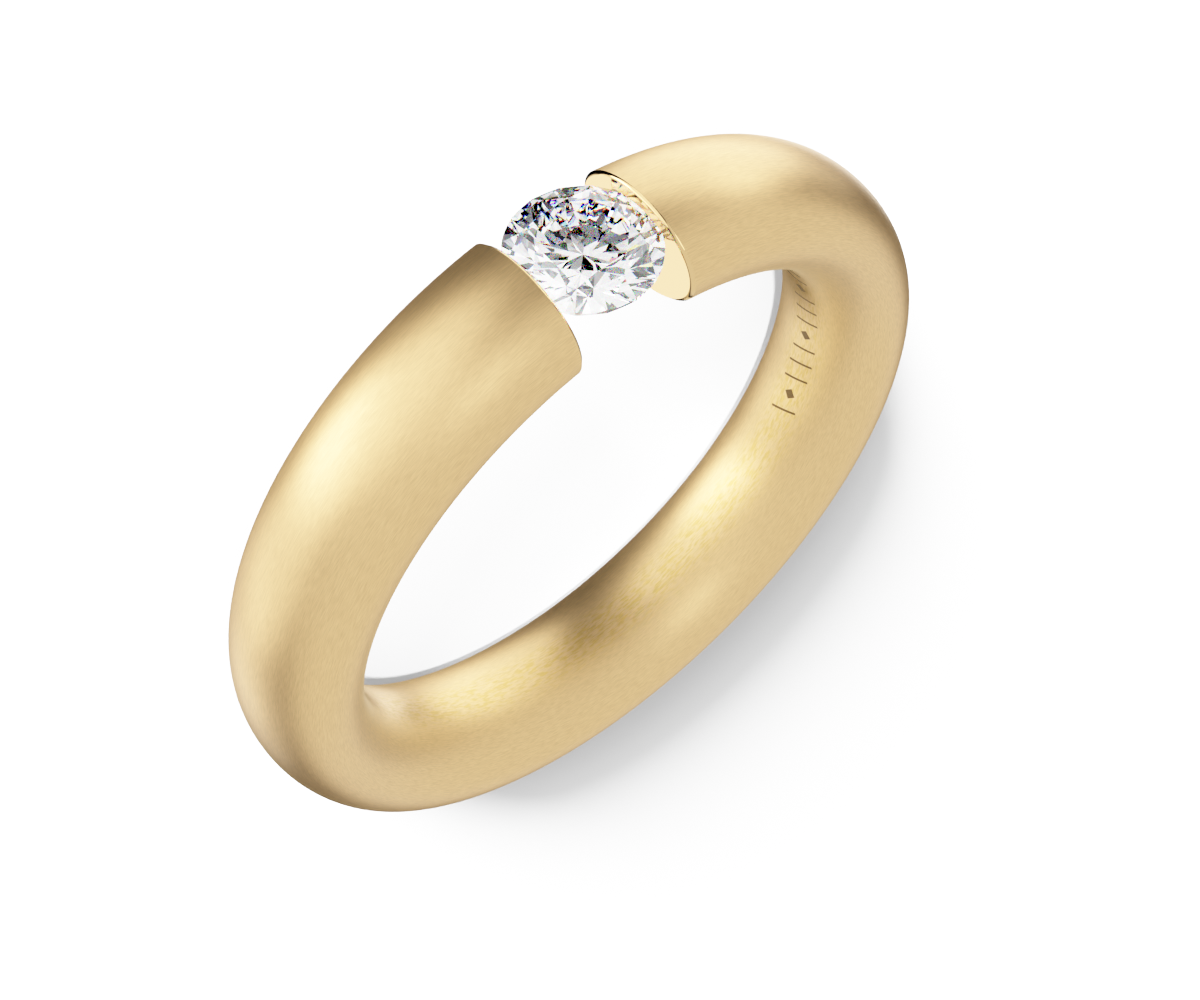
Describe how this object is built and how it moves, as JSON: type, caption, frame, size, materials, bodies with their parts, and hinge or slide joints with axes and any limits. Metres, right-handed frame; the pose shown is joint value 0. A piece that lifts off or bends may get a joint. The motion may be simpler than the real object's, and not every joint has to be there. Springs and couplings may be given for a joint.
{
  "type": "tension set ring",
  "caption": "Open gold band of oval section whose two flat end faces grip a round brilliant by its girdle.",
  "frame": {"origin": "on the finger's axis, at the surface that the ring lies on", "axes": "+Z along the finger, up from the surface; +Y from the finger's axis to the stone; +X along the gap that the stone bridges"},
  "size_m": [0.0234, 0.0233, 0.0044],
  "materials": {
    "satin_gold": "satin, brushed round the band, with polished end faces and bevels",
    "diamond": "polished facets"
  },
  "bodies": {
    "root": {"band": "satin_gold", "stone": "diamond"}
  },
  "joints": []
}
